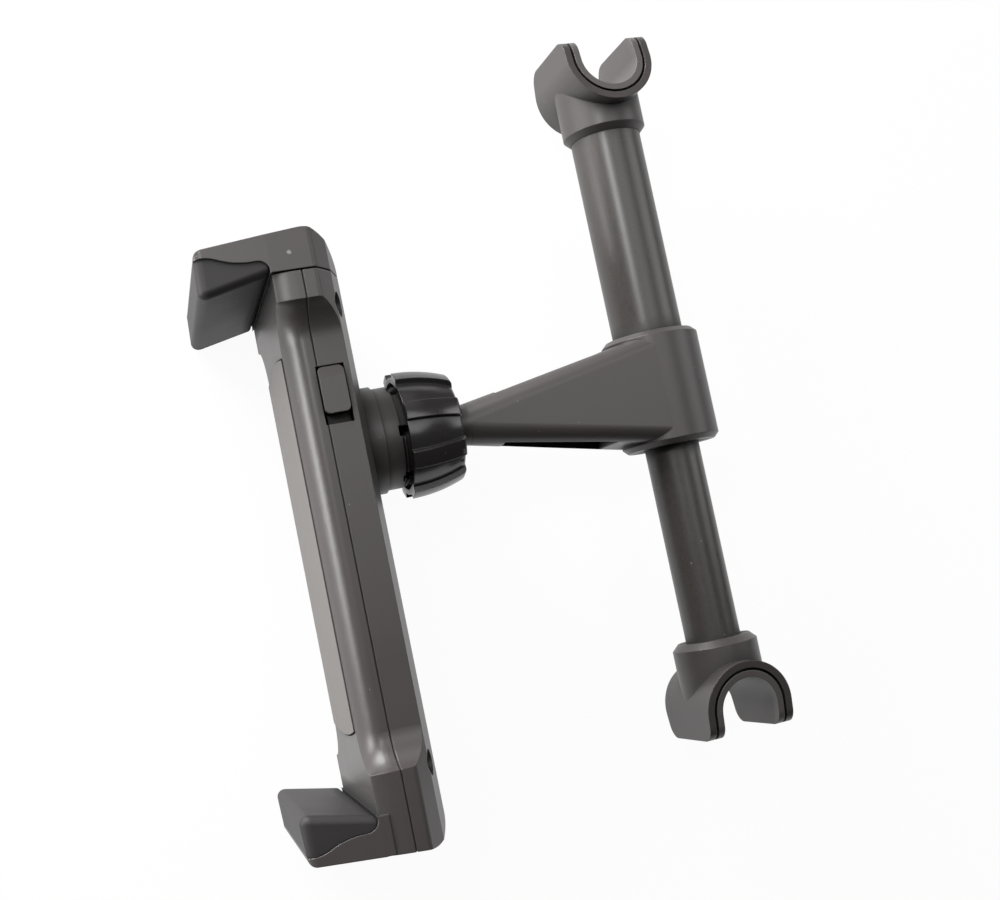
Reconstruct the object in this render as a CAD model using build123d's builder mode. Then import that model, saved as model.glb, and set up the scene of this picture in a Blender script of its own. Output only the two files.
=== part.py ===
from build123d import *
import os
from math import cos, radians, sin, tan

os.makedirs("parts", exist_ok=True)

# Headrest tablet mount. The origin is on the axis of the fixed hook's post channel.
# +X runs along the bar to the sliding hook, -Y along the arm to the tablet, +Z is up along the posts.
# All lengths are in millimetres.

# Clearances
running_gap = 0.3  # between pieces that move past each other

# Bar
post_spacing = 167.0  # between the axes of the two post channels
outer_tube_d = 18.2
inner_tube_d = 14.0
tube_wall = 1.0
inner_tube_overlap = 31.0  # of the inner tube inside the outer one

# Hooks
channel_d = 15.0  # clear width for the headrest post
liner_wall = 1.6
hook_wall = 2.4
hook_length = 25.5  # along the post, measured at its axis
hook_face_angle = 10.5  # the end faces lean in towards the prong tips
prong_reach = 6.0  # past the post's axis
prong_tip_radius = 1.5
prong_corner_radius = 4.0  # at the tips in side view
groove_width = 0.65  # shadow gap round the liner at the end faces
groove_depth = 1.5
collar_d = 21.6
collar_reach = 17.5  # from the post's axis to the collar's end
collar_chamfer = 1.6
seat_wall = 1.5  # between the liner's pocket and the tube's end

# Twist lock inside the bar
spigot_plug_length = 12.0
spigot_flange = 2.0
lock_pin_d = 8.0
lock_pin_length = 8.0
lock_offset = 0.5  # of the eccentric pin
lock_head_d = 11.0
lock_head = 2.0
lock_ring_slit = 2.0

# Arm
arm_x = 85.0  # from the fixed post to the arm's axis
sleeve_d = 25.0
sleeve_length = 29.0
sleeve_lip = 2.0  # closes the sleeve round the inner tube
sleeve_chamfer = 1.2
web_start = 4.0  # from the bar's axis
neck_length = 13.0  # from the web's end to the ball's centre
web_width = 27.6  # along X at the sleeve
web_height = 23.7  # along Z at the sleeve
web_corner = 3.5
neck_d = 10.4
neck_corner = 5.1  # rounds the web's last section to a near circle
neck_tip_d = 9.2
core_start = 17.0  # coring pockets in the web's two edges, from the bar's axis
core_stop = 8.0  # before the web's end
core_web = 6.0  # left between the two pockets
core_wall = 3.0
ball_reach = 66.0  # from the bar's axis to the ball's centre
ball_d = 17.0

# Ball joint, measured along -Y and +Y from the ball's centre
ball_gap = 0.3
seat_wall_t = 1.5
seat_half_angle = 46.0
pocket_half_angle = 72.0
boss_d = 24.9
boss_step = 5.7
flange_rim = 0.65  # of the flange past the boss
flange_step = 9.8
thread_inset = 0.85  # of the thread from the boss
thread_end = 1.0
finger_end = 4.3
finger_end_d = 19.8
finger_slots = 6
slot_width = 2.5
slot_root = 6.2
spigot_d = 14.0
nut_open_end = 4.2
nut_arm_end = 9.5
nut_rim = 1.2  # wall at its open end, below the ridges
nut_mouth_rim = 1.8  # the same at the arm's end
nut_bulge = 0.7
nut_ridges = 8
ridge_start = 29.5
ridge_width = 4.3
ridge_height = 1.4
nut_relief_gap = 0.75  # round the boss
nut_relief = 1.8
nut_mouth_d = 19.6
nut_mouth = 4.5
nut_end_radius = 1.2

# Holder, drawn square to the bar and then turned about the ball's centre
holder_pitch = 3.6  # degrees about X, as it is set in the photo
ball_to_back = 14.2  # from the ball's centre to the holder's back
holder_depth = 16.4
front_depth = 6.6  # of the front shell, from the split to the face
holder_offset = 22.6  # of the jaws' middle from the arm's axis, along X
seam_reach = 59.9  # from the jaws' middle to the seam of the sliding jaw
seam_gap = 0.4
cap_length = 10.3  # from the seam to the outside of a jaw, at the back
cap_lean = 1.4  # the outside leans in by this much from the back to the face
end_half_width = 31.0
shoulder_depth = 5.7  # of the waist, inside the wide ends
end_block_up = 6.6  # the wide end's length, from the seam to its shoulder
end_block_down = 8.4  # the same at the fixed jaw
shoulder_run = 8.0  # of the hollow shoulder, along X
bevel_width = 6.3  # of the rounded bevel at the waist
end_bevel_width = 1.2  # of the rounded bevel at the wide ends
face_run = 10.8  # of the face's flare, along X
side_band = 1.5  # plain side of the front shell before its rounded bevel
bevel_turns = (90, 70, 52, 37, 24)  # sections of the bevel, from the side round to its crease at the face
split_chamfer = 0.25  # of both shells along the split
back_bevel_width = 8.3
back_bevel = 2.6
back_corner_bevel = 3.9
back_edge_radius = 1.5
bottom_radius = 5.0
wall = 2.2
end_cavity_half_width = 16.0  # the ends are solid round the case screws

# Jaws, measured forward from the holder's face and outward from the jaws' middle
jaw_reach = 16.2
jaw_lean = 1.4  # the outside leans in by this much from the face to the tip
jaw_taper = 0.7  # of each side, from the face to the tips
jaw_tip_radius = 2.0  # in side view
jaw_corner_radius = 2.5  # of the tips, seen along the bar
jaw_back_radius = 8.5
grip_tip_reach = 16.7
grip_overhang = 3.7  # of the grips' tips, inward of the seam
grip_edge_radius = 1.8
grip_inset = 0.4  # of the rubber's sides from the jaw's
# line between jaw and rubber: forward from the face, outward from the grip's tip
grip_edge = ((16.3, 9.1), (14.5, 9.3), (12.5, 9.0), (10.5, 8.2), (8.5, 7.5), (6.5, 7.1), (4.2, 6.9),
             (2.0, 6.8), (0.8, 6.0), (0.4, 3.6))

# Front pad
pad_side_margin = 0.5  # from the face's edges
pad_end_margin = 15.7  # from the seam
pad_bow = 1.6
pad_thickness = 1.2
pad_recess = 0.9
pad_gap = 0.3  # shadow gap round the pad

# Sliding jaw's tongue and rack
tongue_half_width = 9.0
tongue_thickness = 4.0
tongue_front = 0.6  # behind the split
tongue_length = 100.0
rack_pitch = 2.5
rack_depth = 1.4
rack_start = 19.5
rack_teeth = 32
rib = 2.0
rail_length = 14.0
rib_top = 9.5  # from the seam
rib_bottom = 85.0

# Release button
button_x = 75.6
button_length = 12.8  # of its window
button_width = 5.9
button_over = 0.5  # of its window into the front shell
button_end_gap = 2.1  # open end of the window below the button
button_radius = 1.2
button_rise = 0.8
button_ramp = 2.6  # the upper end slopes in over this length
button_ramp_rise = 0.1
button_flange = 1.8
button_lip = 1.0
yoke_width = 5.0
yoke_thickness = 2.0
yoke_inset = 3.5
yoke_gap = 0.5
pawl_teeth = 2
pawl_width = 3.0
spring_d = 4.0
spring_wire = 0.5
spring_turns = 5
spring_length = 6.1
spring_inset = 3.5

# Screws
case_screw_inset = 7.5  # from the seam
case_screw_z = 23.0
case_recess_d = 6.0
case_recess_floor = 5.5
case_head_d = 5.0
case_head = 1.6
screw_d = 2.4
case_screw_tip = 2.0
socket_screw_circle = 20.0
socket_screw_length = 6.0
socket_head_d = 4.4
socket_head = 1.5

# Worked out from the sizes above
web_end = ball_reach - neck_length
core_end = web_end - core_stop
flange_d = boss_d + 2 * flange_rim
thread_d = boss_d - 2 * thread_inset
nut_relief_d = boss_d + 2 * nut_relief_gap
nut_big_d = nut_relief_d + 2 * (nut_rim + ridge_height)
nut_small_d = nut_mouth_d + 2 * (nut_mouth_rim + ridge_height)
waist_half_width = end_half_width - shoulder_depth
face_half_width = waist_half_width - bevel_width
face_end_half_width = end_half_width - end_bevel_width
back_half_width = waist_half_width - back_bevel_width
pad_half_width = face_half_width - pad_side_margin
pad_reach = seam_reach - pad_end_margin
half_length = seam_reach + cap_length
jaw_root = half_length - cap_lean
jaw_tip = jaw_root - jaw_lean
jaw_tip_half_width = end_half_width - jaw_taper
grip_tip = seam_reach - grip_overhang
case_screw_reach = seam_reach - case_screw_inset
ball_y = -ball_reach
back_y = ball_y - ball_to_back
face_y = back_y - holder_depth
split_y = face_y + front_depth
inside_back_y = back_y - wall
middle_x = arm_x + holder_offset
body_top_x = middle_x - seam_reach + seam_gap / 2
body_bottom_x = middle_x + half_length
upper_shoulder_x = middle_x - seam_reach + end_block_up
lower_shoulder_x = middle_x + seam_reach - end_block_down
jaw_seam_x = middle_x - seam_reach - seam_gap / 2
rib_top_x = body_top_x + rib_top
rib_bottom_x = body_top_x + rib_bottom
hook_r = channel_d / 2 + liner_wall + hook_wall
tube_seat_reach = channel_d / 2 + liner_wall + seat_wall
sleeve_start = arm_x - sleeve_length / 2
sleeve_end = arm_x + sleeve_length / 2
lip_x = sleeve_end - sleeve_lip
inner_tube_start = lip_x - inner_tube_overlap
ball_axis = Axis((arm_x, ball_y, 0), (0, 1, 0))
far = 400.0  # longer than any piece, for cuts that go right through


def bar_plane(x):
    """Plane across the bar, facing +X, with Y and Z as its own axes."""
    return Plane.YZ.offset(x)


def holder_plane(y):
    """Plane across the arm, facing -Y, with X and Z as its own axes."""
    return Plane(origin=(0, y, 0), x_dir=(1, 0, 0), z_dir=(0, -1, 0))


def ball_plane():
    """Plane through the ball's axis, with the radius and Y as its own axes."""
    return Plane(origin=(arm_x, ball_y, 0), x_dir=(1, 0, 0), z_dir=(0, 0, 1))


def both_sides(half):
    """Close a half outline over its mirror image in the first axis."""
    return [*half, *[(a, -b) for a, b in reversed(half)]]


def outline(points):
    """A face with straight edges in the sketch that is being drawn."""
    Polygon(*points, align=None)


# Hooks: one shape for both ends, drawn with its own x from the post into the bar

def hook_plane(post_x, into_bar):
    """Plane across the post, with its own x pointing from the post into the bar."""
    return Plane(origin=(post_x, 0, 0), x_dir=(into_bar, 0, 0), z_dir=(0, 0, 1))


def hook_side_plane(post_x, into_bar):
    """Plane along the bar and the post, for the hook's side view."""
    return Plane(origin=(post_x, 0, 0), x_dir=(into_bar, 0, 0), z_dir=(0, -into_bar, 0))


def u_section(radius):
    """U of one radius that opens away from the bar."""
    Circle(radius)
    Rectangle(prong_reach, 2 * radius, align=(Align.MAX, Align.CENTER))


def hook_side(cut_back):
    """Side view of a hook whose end faces lean in towards the rounded tips."""
    lean = tan(radians(hook_face_angle))
    half = hook_length / 2 - cut_back
    with BuildSketch() as view:
        outline(both_sides([(-prong_reach, half - lean * prong_reach), (hook_r, half + lean * hook_r)]))
        fillet(view.vertices().group_by(Axis.X)[0], prong_corner_radius)
    return view.sketch


def build_hook(post_x, into_bar, tube_d):
    """Hook moulding: U, collar for the tube, pocket for the liner and the groove round it."""
    plane = hook_plane(post_x, into_bar)
    side = hook_side_plane(post_x, into_bar)
    pocket_r = channel_d / 2 + liner_wall
    with BuildPart() as groove:
        with BuildSketch(plane):
            u_section(pocket_r + groove_width)
        extrude(amount=far, both=True)
        with BuildSketch(side):
            add(hook_side(groove_depth))
        extrude(amount=far, both=True, mode=Mode.SUBTRACT)
    with BuildPart() as hook:
        with BuildSketch(plane) as section:
            u_section(hook_r)
            tips = section.vertices().sort_by(Axis.X)[:2]
            fillet(tips, prong_tip_radius)
        extrude(amount=far, both=True)
        with BuildSketch(side):
            add(hook_side(0))
        extrude(amount=far, both=True, mode=Mode.INTERSECT)
        with BuildSketch(bar_plane(post_x)):
            Circle(collar_d / 2)
        extrude(amount=into_bar * collar_reach)
        ends = hook.faces().filter_by(GeomType.PLANE).sort_by(Axis.X)
        collar_face = ends[-1] if into_bar > 0 else ends[0]
        chamfer(collar_face.edges(), collar_chamfer)
        with BuildSketch(plane):
            u_section(pocket_r)
        extrude(amount=far, both=True, mode=Mode.SUBTRACT)
        add(groove.part, mode=Mode.SUBTRACT)
        with BuildSketch(bar_plane(post_x + into_bar * tube_seat_reach)):
            Circle(tube_d / 2)
        extrude(amount=into_bar * collar_reach, mode=Mode.SUBTRACT)
    return hook.part


def build_liner(post_x, into_bar):
    """Rubber strip that lines the channel from tip to tip."""
    with BuildPart() as liner:
        with BuildSketch(hook_plane(post_x, into_bar)):
            u_section(channel_d / 2 + liner_wall)
            Circle(channel_d / 2, mode=Mode.SUBTRACT)
            Rectangle(prong_reach, channel_d, align=(Align.MAX, Align.CENTER), mode=Mode.SUBTRACT)
        extrude(amount=far, both=True)
        with BuildSketch(hook_side_plane(post_x, into_bar)):
            add(hook_side(0))
        extrude(amount=far, both=True, mode=Mode.INTERSECT)
    return liner.part


def build_tube(start_x, end_x, outside_d):
    """Straight length of the bar's tube."""
    with BuildPart() as tube:
        with BuildSketch(bar_plane(start_x)):
            Circle(outside_d / 2)
            Circle(outside_d / 2 - tube_wall, mode=Mode.SUBTRACT)
        extrude(amount=end_x - start_x)
    return tube.part


def save(part, name):
    """Label a finished piece and write it to its own file."""
    part.label = name
    export_step(part, f"parts/{name}.step")


def save_turned(part, name):
    """Turn a piece beyond the ball to the holder's pitch and save it."""
    save(part.rotate(Axis((arm_x, ball_y, 0), (1, 0, 0)), holder_pitch), name)


save(build_hook(0, 1, outer_tube_d), "fixed_hook")
save(build_liner(0, 1), "fixed_hook_liner")
save(build_hook(post_spacing, -1, inner_tube_d), "sliding_hook")
save(build_liner(post_spacing, -1), "sliding_hook_liner")
save(build_tube(tube_seat_reach, lip_x, outer_tube_d), "outer_tube")
save(build_tube(inner_tube_start, post_spacing - tube_seat_reach, inner_tube_d), "inner_tube")

# Twist lock: a plug in the inner tube's end with an eccentric pin, and a split ring on the pin
flange_x = inner_tube_start - spigot_flange
pin_x = flange_x - lock_pin_length
with BuildPart() as lock_spigot:
    with BuildSketch(bar_plane(inner_tube_start)):
        Circle(inner_tube_d / 2 - tube_wall)
    extrude(amount=spigot_plug_length)
    with BuildSketch(bar_plane(flange_x)):
        Circle(inner_tube_d / 2)
    extrude(amount=spigot_flange)
    with BuildSketch(bar_plane(pin_x)):
        with Locations((0, lock_offset)):
            Circle(lock_pin_d / 2)
    extrude(amount=lock_pin_length)
    with BuildSketch(bar_plane(pin_x - lock_head)):
        Circle(lock_head_d / 2)
    extrude(amount=lock_head)
save(lock_spigot.part, "lock_spigot")

ring_hole_r = lock_pin_d / 2 + 2 * lock_offset + running_gap
with BuildPart() as lock_ring:
    with BuildSketch(bar_plane(pin_x + running_gap)):
        Circle(outer_tube_d / 2 - tube_wall - running_gap)
        Circle(ring_hole_r, mode=Mode.SUBTRACT)
        Rectangle(lock_ring_slit, outer_tube_d, align=(Align.CENTER, Align.MAX), mode=Mode.SUBTRACT)
    extrude(amount=lock_pin_length - 2 * running_gap)
save(lock_ring.part, "lock_ring")

# Arm: one moulding with the sleeve on the bar, the tapered web, the neck and the ball

def arm_plane(distance):
    """Plane across the arm at a distance from the bar, centred on the arm's axis."""
    return Plane(origin=(arm_x, -distance, 0), x_dir=(1, 0, 0), z_dir=(0, -1, 0))


def web_half(distance, at_sleeve):
    """Half of the web's width or height at a distance from the bar."""
    share = (distance - web_start) / (web_end - web_start)
    return at_sleeve / 2 + share * (neck_d - at_sleeve) / 2


with BuildPart() as arm:
    with BuildSketch(bar_plane(sleeve_start)):
        Circle(sleeve_d / 2)
    extrude(amount=sleeve_length)
    chamfer(arm.edges().filter_by(GeomType.CIRCLE), sleeve_chamfer)
    with BuildSketch(arm_plane(web_start)):
        RectangleRounded(web_width, web_height, web_corner)
    with BuildSketch(arm_plane(web_end)):
        RectangleRounded(neck_d, neck_d, neck_corner)
    loft()
    with BuildSketch(ball_plane()):
        with BuildLine():
            Polyline(
                (0, ball_reach - web_end),
                (neck_d / 2, ball_reach - web_end),
                (neck_tip_d / 2, ball_d / 2 - running_gap),
                (neck_tip_d / 2, 0),
                (0, 0),
                close=True,
            )
        make_face()
    revolve(axis=ball_axis)
    with Locations((arm_x, ball_y, 0)):
        Sphere(ball_d / 2)
    core_outline = both_sides([
        (-core_start, web_half(core_start, web_height) - core_wall),
        (-core_end, web_half(core_end, web_height) - core_wall),
    ])
    for way in (1, -1):
        with BuildSketch(bar_plane(arm_x + way * core_web / 2)):
            outline(core_outline)
        extrude(amount=way * web_width, mode=Mode.SUBTRACT)
    with BuildSketch(bar_plane(sleeve_start)):
        Circle(outer_tube_d / 2)
    extrude(amount=sleeve_length - sleeve_lip, mode=Mode.SUBTRACT)
    with BuildSketch(bar_plane(lip_x)):
        Circle(inner_tube_d / 2 + running_gap)
    extrude(amount=sleeve_lip, mode=Mode.SUBTRACT)
save(arm.part, "arm")

# Ball joint: a seat behind the ball, the slotted socket cup round it and the ring nut over its fingers
socket_r = ball_d / 2 + ball_gap
seat_r = socket_r + seat_wall_t
pocket_r = seat_r + running_gap
with BuildPart() as ball_seat:
    with BuildSketch(ball_plane()):
        with BuildLine():
            CenterArc((0, 0), seat_r, -90, seat_half_angle)
            CenterArc((0, 0), socket_r, -90, seat_half_angle)
            Line((0, -seat_r), (0, -socket_r))
            Line(
                (seat_r * sin(radians(seat_half_angle)), -seat_r * cos(radians(seat_half_angle))),
                (socket_r * sin(radians(seat_half_angle)), -socket_r * cos(radians(seat_half_angle))),
            )
        make_face()
    revolve(axis=ball_axis)
save_turned(ball_seat.part, "ball_seat")

pocket_edge = pocket_r * cos(radians(pocket_half_angle))
with BuildPart() as pocket:
    with Locations((arm_x, ball_y, 0)):
        Sphere(pocket_r)
    split(bisect_by=Plane(origin=(arm_x, ball_y - pocket_edge, 0), z_dir=(0, -1, 0)), keep=Keep.TOP)
    with Locations((arm_x, ball_y, 0)):
        Sphere(socket_r)

with BuildPart() as socket_cup:
    with BuildSketch(ball_plane()):
        with BuildLine():
            Polyline(
                (0, -ball_to_back - wall),
                (spigot_d / 2, -ball_to_back - wall),
                (spigot_d / 2, -ball_to_back),
                (flange_d / 2, -ball_to_back),
                (flange_d / 2, -flange_step),
                (boss_d / 2, -flange_step),
                (boss_d / 2, -boss_step),
                (thread_d / 2, -boss_step),
                (thread_d / 2, thread_end),
                (finger_end_d / 2, finger_end),
                (0, finger_end),
                close=True,
            )
        make_face()
    revolve(axis=ball_axis)
    add(pocket.part, mode=Mode.SUBTRACT)
    for number in range(finger_slots):
        turn = number * 360 / finger_slots
        with BuildSketch(Plane(origin=(arm_x, ball_y - slot_root, 0),
                               x_dir=(sin(radians(turn)), 0, cos(radians(turn))), z_dir=(0, 1, 0))):
            Rectangle(boss_d, slot_width, align=(Align.MIN, Align.CENTER))
        extrude(amount=slot_root + finger_end, mode=Mode.SUBTRACT)
    with BuildSketch(holder_plane(back_y)):
        with Locations((arm_x, 0)):
            with PolarLocations(socket_screw_circle / 2, 4, start_angle=45):
                Circle(screw_d / 2)
    extrude(amount=-socket_screw_length, mode=Mode.SUBTRACT)
save_turned(socket_cup.part, "socket_cup")

nut_thread_r = thread_d / 2 + running_gap


def build_nut_form(rise):
    """Barrel turned round the ball's axis, raised above the panels, with the nut's thread and mouth."""
    with BuildPart() as form:
        with BuildSketch(ball_plane()):
            with BuildLine():
                barrel = ThreePointArc(
                    (nut_big_d / 2 - ridge_height + rise, -nut_open_end),
                    ((nut_big_d + nut_small_d) / 4 - ridge_height + rise + nut_bulge,
                     (nut_arm_end - nut_open_end) / 2),
                    (nut_small_d / 2 - ridge_height + rise, nut_arm_end),
                )
                Polyline(
                    barrel @ 1,
                    (nut_mouth_d / 2, nut_arm_end),
                    (nut_mouth_d / 2, nut_mouth),
                    (nut_thread_r, thread_end),
                    (nut_thread_r, nut_relief - nut_open_end),
                    (nut_relief_d / 2, nut_relief - nut_open_end),
                    (nut_relief_d / 2, -nut_open_end),
                    barrel @ 0,
                )
            make_face()
        revolve(axis=ball_axis)
        fillet(form.edges().group_by(Axis.Y)[-1].sort_by(SortBy.RADIUS)[-1], nut_end_radius)
    return form.part


with BuildPart() as ridges:
    add(build_nut_form(ridge_height))
    with BuildSketch(Plane(origin=(arm_x, ball_y - nut_open_end, 0), x_dir=(0, 0, 1), z_dir=(0, 1, 0))):
        with PolarLocations(nut_big_d / 2, nut_ridges, start_angle=ridge_start):
            Rectangle(nut_big_d / 2, ridge_width)
    extrude(amount=nut_open_end + nut_arm_end, mode=Mode.INTERSECT)

with BuildPart() as ring_nut:
    add(build_nut_form(0))
    add(ridges.part)
save_turned(ring_nut.part, "ring_nut")

# Holder: two shells that meet at the split, drawn from a front view and a view along the bar

def body_view(waist, ends, run):
    """Front view of the body at one depth: hollow shoulders lead from the wide ends to the waist."""
    with BuildSketch() as view:
        with BuildLine():
            Polyline((body_bottom_x, 0), (body_bottom_x, ends), (lower_shoulder_x, ends))
            TangentArc((lower_shoulder_x - run, waist), (lower_shoulder_x, ends), tangent=(1, 0))
            Line((lower_shoulder_x - run, waist), (upper_shoulder_x + run, waist))
            TangentArc((upper_shoulder_x + run, waist), (upper_shoulder_x, ends), tangent=(-1, 0))
            Polyline((upper_shoulder_x, ends), (body_top_x, ends), (body_top_x, 0))
            mirror(about=Plane.XZ)
        make_face()
    return view.sketch


def body_side():
    """Side view of the body, whose lower end leans out towards its rounded back corner."""
    with BuildSketch() as view:
        outline([
            (body_top_x, face_y),
            (middle_x + jaw_root, face_y),
            (body_bottom_x, back_y),
            (body_top_x, back_y),
        ])
        fillet(view.vertices().sort_by(Axis.X)[-1], bottom_radius)
    return view.sketch


def end_view(inset):
    """Holder seen along the bar: bevelled back, straight sides that can be set in, rounded tips."""
    side_half = end_half_width - inset
    tip_half = jaw_tip_half_width - inset
    bevel_y = back_y - back_bevel
    corner_y = bevel_y - back_corner_bevel
    tip_y = face_y - grip_tip_reach
    with BuildSketch() as view:
        outline(both_sides([
            (back_y, back_half_width),
            (bevel_y, waist_half_width),
            (corner_y, side_half),
            (face_y, side_half),
            (tip_y, tip_half),
        ]))
        for side in (-1, 1):
            fillet(view.vertices().sort_by_distance((corner_y, side * side_half))[0], back_edge_radius)
            fillet(view.vertices().sort_by_distance((tip_y, side * tip_half))[0], jaw_corner_radius)
    return view.sketch


def jaw_point(way, forward, outward):
    """Point of a jaw's side view, forward from the face and outward from the jaws' middle."""
    return (middle_x + way * outward, face_y - forward)


def grip_line(way):
    """Points of the S-shaped line between a jaw and its rubber grip, from the tip to the root."""
    return [jaw_point(way, forward, grip_tip + outward) for forward, outward in grip_edge]


def build_arm_of_jaw(way):
    """Arm of a jaw in front of the holder's face, without its rubber."""
    with BuildPart() as jaw:
        with BuildSketch(Plane.XY) as side:
            with BuildLine():
                edge = Spline(*grip_line(way))
                Polyline(
                    edge @ 1,
                    jaw_point(way, 0, seam_reach + seam_gap / 2),
                    jaw_point(way, -wall, seam_reach + seam_gap / 2),
                    jaw_point(way, -wall, jaw_root),
                    jaw_point(way, 0, jaw_root),
                    jaw_point(way, jaw_reach, jaw_tip),
                    edge @ 0,
                )
            make_face()
            fillet(side.vertices().sort_by_distance(jaw_point(way, jaw_reach, jaw_tip))[0], jaw_tip_radius)
        extrude(amount=end_half_width, both=True)
        with BuildSketch(Plane.YZ):
            add(end_view(0))
        extrude(amount=far, both=True, mode=Mode.INTERSECT)
    return jaw.part


def build_grip(way):
    """Rubber wedge on the inside of a jaw, thick at the tip, with rounded edges on its gripping face."""
    tip = jaw_point(way, grip_tip_reach, grip_tip)
    with BuildPart() as grip:
        with BuildSketch(Plane.XY):
            with BuildLine():
                edge = Spline(*grip_line(way))
                Polyline(edge @ 0, tip, edge @ 1)
            make_face()
        extrude(amount=end_half_width, both=True)
        with BuildSketch(Plane.YZ):
            add(end_view(grip_inset))
        extrude(amount=far, both=True, mode=Mode.INTERSECT)
        inside = grip.faces().sort_by_distance((*tip, 0))[:2].sort_by(SortBy.AREA)[-1]
        root = inside.edges().sort_by(Axis.Y)[-1]
        fillet([one for one in inside.edges() if one != root], grip_edge_radius)
    return grip.part


def screw_places():
    """Places of the four case screws in the front view."""
    across = (middle_x - case_screw_reach, middle_x + case_screw_reach)
    return [(x, z) for x in across for z in (-case_screw_z, case_screw_z)]


def build_pad_form(y, thickness, grow):
    """Flat plate with bowed ends, grown all round by a gap, forward from a plane across the arm."""
    top = middle_x - pad_reach - grow
    bottom = middle_x + pad_reach + grow
    half = pad_half_width + grow
    with BuildPart() as plate:
        with BuildSketch(holder_plane(y)):
            with BuildLine():
                Line((top + pad_bow, half), (bottom - pad_bow, half))
                ThreePointArc((bottom - pad_bow, half), (bottom, 0), (bottom - pad_bow, -half))
                Line((bottom - pad_bow, -half), (top + pad_bow, -half))
                ThreePointArc((top + pad_bow, -half), (top, 0), (top + pad_bow, half))
            make_face()
        extrude(amount=thickness)
    return plate.part


tongue_front_y = split_y + tongue_front
button_front_y = split_y - button_over + running_gap
button_top_x = button_x - button_length / 2
button_end_x = button_x + button_length / 2
button_back_y = button_front_y + button_width
button_seat_z = waist_half_width - wall - running_gap - button_flange
yoke_back_y = inside_back_y - yoke_gap
yoke_x = button_x - yoke_inset
spring_x = button_x + spring_inset
spring_y = (button_front_y + button_back_y) / 2
spring_foot_z = button_seat_z - spring_length
rail_z = tongue_half_width + running_gap
tongue_back_y = tongue_front_y + tongue_thickness
case_head_y = back_y - case_recess_floor

with BuildPart() as front_shell:
    with BuildSketch(holder_plane(split_y)):
        add(body_view(waist_half_width, end_half_width, shoulder_run))
    extrude(amount=side_band)
    chamfer(front_shell.faces().sort_by(Axis.Y)[-1].edges(), split_chamfer)
    crease = radians(bevel_turns[-1])
    for turn in bevel_turns:
        out = (sin(radians(turn)) - sin(crease)) / (1 - sin(crease))
        back = 1 - cos(radians(turn)) / cos(crease)
        with BuildSketch(holder_plane(face_y + back * (front_depth - side_band))):
            add(body_view(
                face_half_width + out * (waist_half_width - face_half_width),
                face_end_half_width + out * (end_half_width - face_end_half_width),
                face_run + out * (shoulder_run - face_run),
            ))
    loft()
    with BuildSketch(Plane.XY):
        add(body_side())
    extrude(amount=far, both=True, mode=Mode.INTERSECT)
    add(build_arm_of_jaw(1))
    with BuildSketch(holder_plane(split_y)):
        with Locations((middle_x, 0)):
            Rectangle(2 * (seam_reach - end_block_down - wall), 2 * (face_half_width - wall))
    extrude(amount=front_depth - wall, mode=Mode.SUBTRACT)
    add(build_pad_form(face_y + pad_recess, 2 * pad_thickness, pad_gap), mode=Mode.SUBTRACT)
    with BuildSketch(Plane.XY.offset(face_half_width - wall)):
        outline([
            (button_top_x - running_gap, split_y),
            (button_top_x - running_gap, split_y - button_over),
            (button_end_x + running_gap, split_y - button_over),
            (button_end_x + running_gap, split_y),
        ])
    extrude(amount=end_half_width, mode=Mode.SUBTRACT)
    with BuildSketch(holder_plane(split_y)):
        with Locations(*screw_places()):
            Circle(screw_d / 2)
    extrude(amount=front_depth - case_screw_tip, mode=Mode.SUBTRACT)
save_turned(front_shell.part, "front_shell")

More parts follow.
